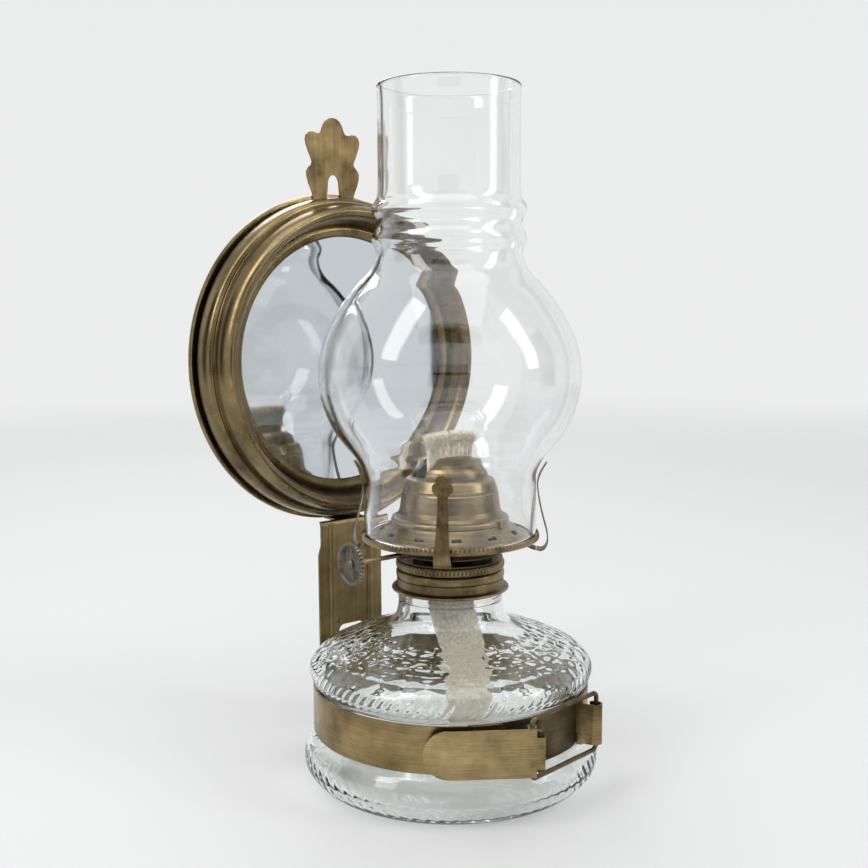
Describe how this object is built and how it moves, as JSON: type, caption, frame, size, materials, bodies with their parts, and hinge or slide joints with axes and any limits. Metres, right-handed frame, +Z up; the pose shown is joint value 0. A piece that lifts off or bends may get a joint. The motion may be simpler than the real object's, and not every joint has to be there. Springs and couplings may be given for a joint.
{
  "type": "kerosene wall lamp with reflector",
  "caption": "Oil lamp with a pressed-glass font, flat-wick burner, bulged glass chimney, and a round mirror reflector on a strap clamped round the font by an over-centre latch.",
  "frame": {"origin": "centre of the font's flat underside", "axes": "+Z up along the chimney, +Y towards the wall behind the reflector, -X towards the wick knob"},
  "size_m": [0.159, 0.1629, 0.3024],
  "materials": {
    "brass": "aged brushed brass, dark in the recesses",
    "wire": "dull drawn wire",
    "font_glass": "pressed clear glass with a faint green tint",
    "chimney_glass": "blown clear glass",
    "mirror": "silvered glass",
    "board": "plain backing board",
    "cement": "white lamp plaster",
    "wick": "woven cotton"
  },
  "bodies": {
    "lamp": {"font_glass": "font_glass", "collar": "brass", "collar_cement": "cement", "clamp_band": "brass", "latch_tongue": "brass", "tongue_rivets": "brass", "hinge_bracket": "brass", "bracket_rivets": "brass", "hinge_pin": "wire", "back_strap": "brass", "standoff_brackets": "brass", "standoff_rivets": "brass", "strap_rivets": "brass", "back_plate": "brass", "backing_board": "board", "mirror_glass": "mirror", "reflector_frame": "brass", "hanging_crest": "brass", "crest_rivets": "brass"},
    "burner_ring": {"burner_skirt": "brass"},
    "burner": {"air_drum": "brass", "burner_bowl": "brass", "gallery_deck": "brass", "flame_dome": "brass", "wick_tube": "brass", "prong_feet": "brass", "prong_rivets": "brass", "shaft_bush": "brass"},
    "wick": {"wick": "wick"},
    "knob": {"wick_shaft": "wire", "wick_sprockets": "wire", "wick_knob": "brass", "knob_rivet": "brass"},
    "prong_front": {"prong_front": "brass"},
    "prong_right": {"prong_right": "brass"},
    "prong_back": {"prong_back": "brass"},
    "prong_left": {"prong_left": "brass"},
    "chimney": {"chimney": "chimney_glass"},
    "lever": {"latch_lever": "brass"},
    "link": {"latch_link": "wire"}
  },
  "joints": [
    {"name": "burner_lift", "type": "slide", "parent": "lamp", "child": "burner_ring", "axis": [0, 0, 1], "range_m": [0, 0.0048]},
    {"name": "burner_turn", "type": "hinge", "parent": "burner_ring", "child": "burner", "pos_m": [0, 0, 0.094], "axis": [0, 0, 1], "range_deg": [0, 810]},
    {"name": "wick_raise", "type": "slide", "parent": "burner", "child": "wick", "axis": [0, 0, 1], "range_m": [-0.012, 0.004]},
    {"name": "knob_turn", "type": "hinge", "parent": "burner", "child": "knob", "pos_m": [-0.03, -0.0051, 0.1042], "axis": [1, 0, 0], "range_deg": [-200, 66]},
    {"name": "chimney_lift", "type": "slide", "parent": "burner", "child": "chimney", "axis": [0, 0, 1], "range_m": [0, 0.06]},
    {"name": "lever_open", "type": "hinge", "parent": "lamp", "child": "lever", "pos_m": [-0.0125, -0.07, 0.0322], "axis": [0, 0, 1], "range_deg": [0, 130]},
    {"name": "link_swing", "type": "hinge", "parent": "lever", "child": "link", "pos_m": [-0.01425, -0.06697, 0.0322], "axis": [0, 0, 1], "range_deg": [-122, 0]},
    {"name": "prong_front_flex", "type": "hinge", "parent": "burner", "child": "prong_front", "pos_m": [-0.02726, -0.02726, 0.1023], "axis": [0.7071, -0.7071, 0], "range_deg": [0, 7]},
    {"name": "prong_right_flex", "type": "hinge", "parent": "burner", "child": "prong_right", "pos_m": [0.02726, -0.02726, 0.1023], "axis": [0.7071, 0.7071, 0], "range_deg": [0, 7]},
    {"name": "prong_back_flex", "type": "hinge", "parent": "burner", "child": "prong_back", "pos_m": [0.02726, 0.02726, 0.1023], "axis": [-0.7071, 0.7071, 0], "range_deg": [0, 7]},
    {"name": "prong_left_flex", "type": "hinge", "parent": "burner", "child": "prong_left", "pos_m": [-0.02726, 0.02726, 0.1023], "axis": [-0.7071, -0.7071, 0], "range_deg": [0, 7]}
  ],
  "couplings": [
    {"joint": "burner_lift", "follows": "burner_turn", "m_per_rad": 0.000337},
    {"joint": "wick_raise", "follows": "knob_turn", "m_per_rad": 0.0034},
    {"joint": "link_swing", "follows": "lever_open", "ratio": -0.938}
  ]
}
